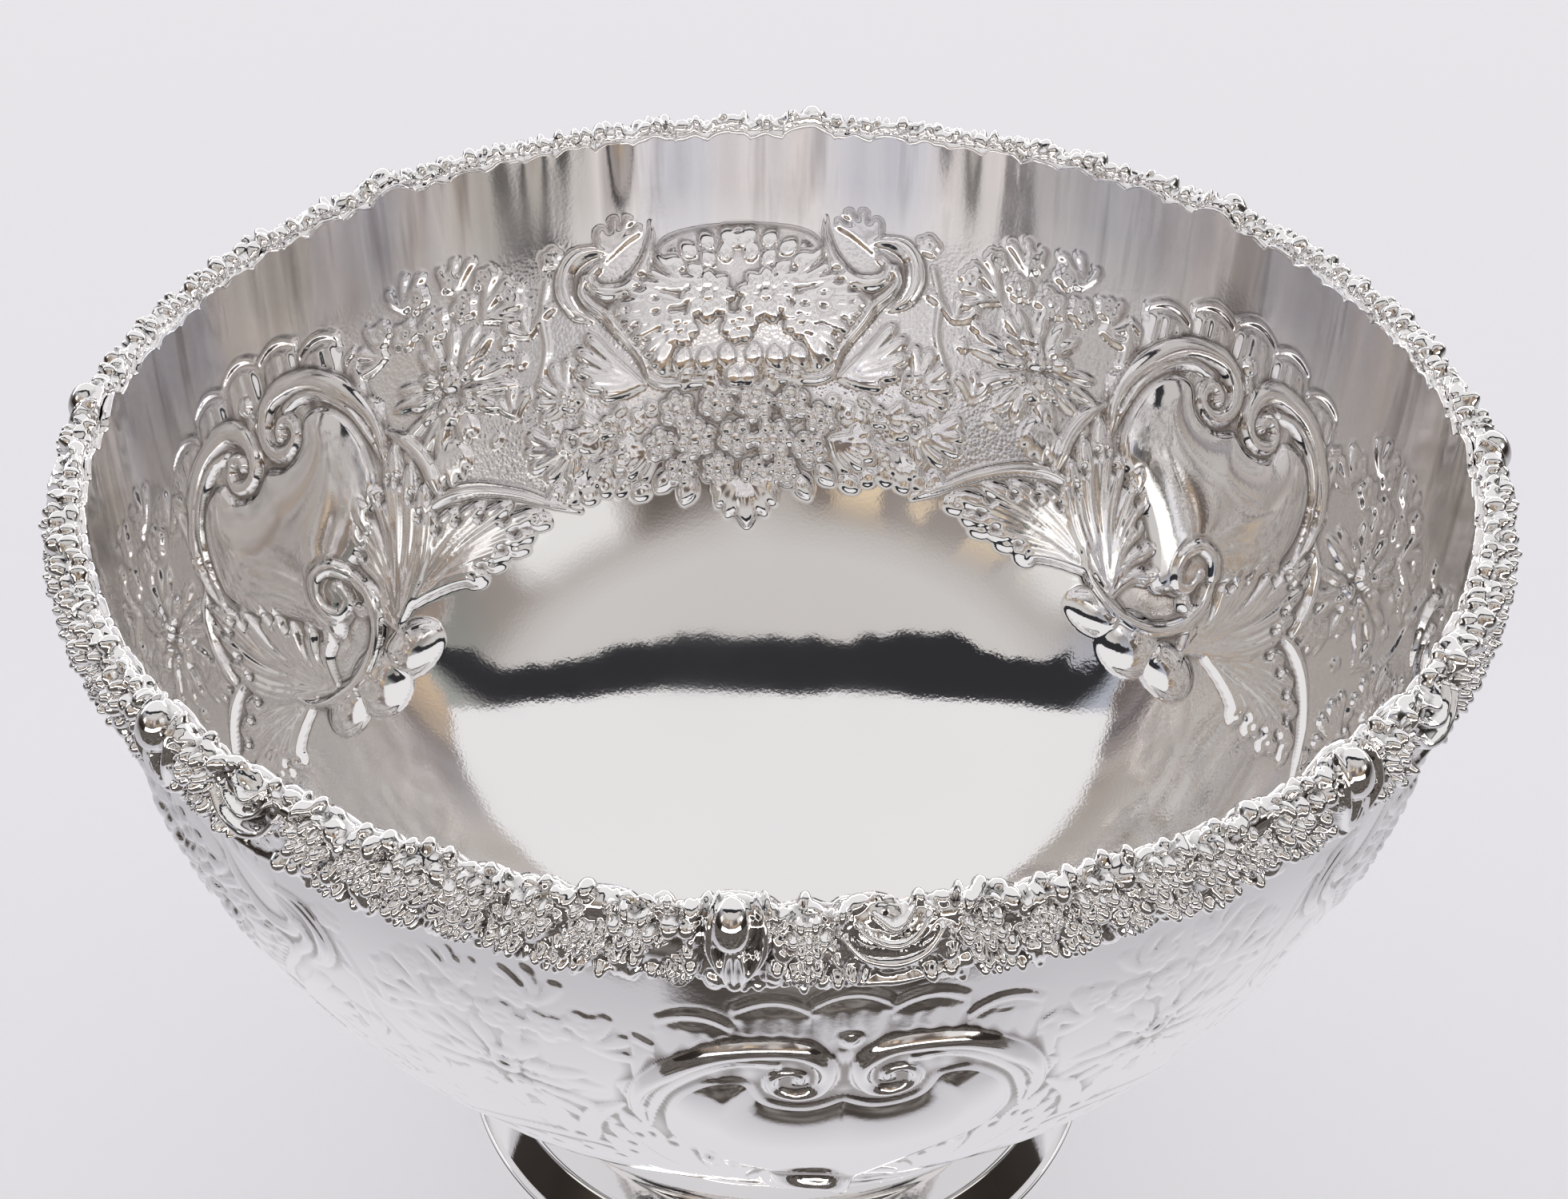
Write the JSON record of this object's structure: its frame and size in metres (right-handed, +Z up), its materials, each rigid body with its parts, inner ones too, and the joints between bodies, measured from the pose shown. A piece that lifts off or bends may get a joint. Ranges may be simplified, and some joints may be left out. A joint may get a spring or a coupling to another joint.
{
  "type": "punch bowl",
  "caption": "Round silver-plated punch bowl with an embossed wall, a cast rim border and a low spun foot; holds drink to be ladled.",
  "frame": {"origin": "centre of the foot's base, on the surface that the bowl stands on", "axes": "+Z up along the bowl's axis; -Y through the middle of one plain cartouche; +X to the right of someone facing that cartouche"},
  "size_m": [0.3832, 0.3832, 0.24],
  "materials": {
    "sheet_silver": "polished silver plate, embossed and chased",
    "cast_silver": "polished cast silver plate, dark in its recesses",
    "wire_silver": "polished silver plate",
    "spun_silver": "spun and mirror polished silver plate"
  },
  "bodies": {
    "root": {"bowl": "sheet_silver", "rim_wire": "wire_silver", "neck_collar": "wire_silver", "foot": "spun_silver", "base_wire": "wire_silver", "border_section_1": "cast_silver", "border_section_2": "cast_silver", "border_section_3": "cast_silver", "border_section_4": "cast_silver", "border_section_5": "cast_silver", "border_section_6": "cast_silver", "border_section_7": "cast_silver", "border_section_8": "cast_silver"}
  },
  "joints": []
}
